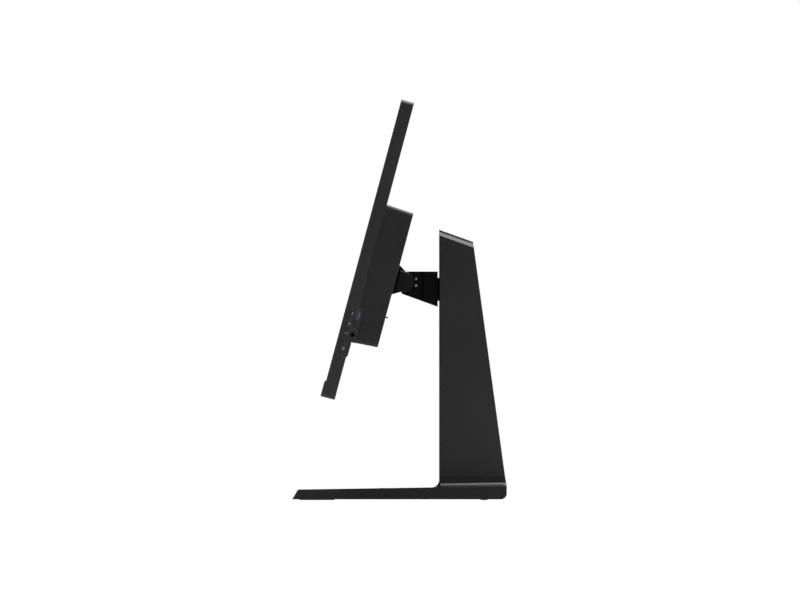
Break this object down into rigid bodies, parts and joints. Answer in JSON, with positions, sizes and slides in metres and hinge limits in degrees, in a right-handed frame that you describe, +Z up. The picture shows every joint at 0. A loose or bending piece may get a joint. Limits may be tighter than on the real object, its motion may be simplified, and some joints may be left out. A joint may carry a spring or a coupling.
{
  "type": "all in one computer",
  "caption": "All in one desktop computer: a slim tilting widescreen with the computer in a box on its back, on a height adjusting column and a wide flat base.",
  "frame": {"origin": "on the table, under the middle of the object's outline", "axes": "+Z up, the screen faces -Y, +X is to the right of someone who faces the screen"},
  "size_m": [0.6132, 0.2576, 0.4807],
  "materials": {
    "black_paint": "fine textured powder coat, satin black",
    "case_plastic": "fine moulded texture, black",
    "dark_plastic": "smooth black",
    "black_metal": "black coated cast metal",
    "button_plastic": "semi gloss",
    "screen_glass": "anti glare cover glass",
    "panel_black": "dark when off",
    "light_guide_clear": "clear acrylic and films",
    "zinc_steel": "zinc plated sheet",
    "bright_steel": "ground or plated",
    "black_screws": "black oxide",
    "spring_paint": "black gloss enamel",
    "aluminium": "mill finish",
    "copper": "bare copper",
    "board_green": "solder mask",
    "chip_black": "moulded chip package",
    "usb_blue": "moulded",
    "rubber": "matte"
  },
  "bodies": {
    "stand": {"base_casting": "black_paint", "base_weight": "zinc_steel", "base_mat": "rubber", "front_feet": "rubber", "rear_feet": "rubber", "base_screws": "black_screws", "column_shell": "case_plastic", "column_cap": "case_plastic", "column_rear_cover": "case_plastic", "guide_rails": "bright_steel", "gas_spring_tube": "spring_paint"},
    "lift_arm": {"lift_carriage": "black_metal", "glide_bushes": "dark_plastic", "gas_spring_rod": "bright_steel", "arm_nose": "black_metal", "arm_side_covers": "dark_plastic", "arm_screws": "bright_steel"},
    "display": {"rear_cover": "case_plastic", "rear_housing": "case_plastic", "service_door": "case_plastic", "front_frame": "case_plastic", "chin_cover": "case_plastic", "side_port_plate": "case_plastic", "hinge_caps": "case_plastic", "speakers": "dark_plastic", "blower_case": "dark_plastic", "webcam_module": "dark_plastic", "headset_jack": "dark_plastic", "plug_blades": "dark_plastic", "drive_caddy": "dark_plastic", "hinge_cheeks": "black_metal", "mount_plate": "black_metal", "front_glass": "screen_glass", "lcd_cell": "panel_black", "light_guide": "light_guide_clear", "backlight_tray": "zinc_steel", "chassis_plate": "zinc_steel", "mount_standoffs": "zinc_steel", "friction_washers": "zinc_steel", "port_bracket": "zinc_steel", "rear_port_shells": "zinc_steel", "side_usb_shell": "zinc_steel", "side_usb_c": "zinc_steel", "hinge_pin": "bright_steel", "display_screws": "black_screws", "heat_spreader": "aluminium", "fin_stack": "aluminium", "disk_drive": "aluminium", "heat_pipes": "copper", "main_board": "board_green", "side_io_board": "board_green", "memory_modules": "board_green", "solid_state_drive": "board_green", "power_switch": "board_green", "processor": "chip_black", "usb_tongues": "usb_blue"},
    "blower_wheel": {"blower_wheel": "dark_plastic"},
    "power_button": {"power_button": "button_plastic"},
    "release_latch": {"release_latch": "zinc_steel"},
    "camera_shutter": {"camera_shutter": "dark_plastic"}
  },
  "joints": [
    {"name": "lift", "type": "slide", "parent": "stand", "child": "lift_arm", "axis": [0, 0, 1], "range_m": [-0.08, 0.02]},
    {"name": "tilt", "type": "hinge", "parent": "lift_arm", "child": "display", "pos_m": [0, 0.0055, 0.2616], "axis": [-1, 0, 0], "range_deg": [-20, 10]},
    {"name": "blower_spin", "type": "hinge", "parent": "display", "child": "blower_wheel", "pos_m": [0.128, -0.02106, 0.26872], "axis": [0, 0.9659, -0.2588], "continuous": true},
    {"name": "power_press", "type": "slide", "parent": "display", "child": "power_button", "axis": [-1, 0, 0], "range_m": [0, 0.0006], "stiffness_N_per_m": 800, "springref_m": -0.0006},
    {"name": "latch_lift", "type": "slide", "parent": "display", "child": "release_latch", "axis": [0, 0.2588, 0.9659], "range_m": [0, 0.004], "stiffness_N_per_m": 400, "springref_m": -0.003},
    {"name": "shutter_slide", "type": "slide", "parent": "display", "child": "camera_shutter", "axis": [1, 0, 0], "range_m": [0, 0.006]}
  ]
}
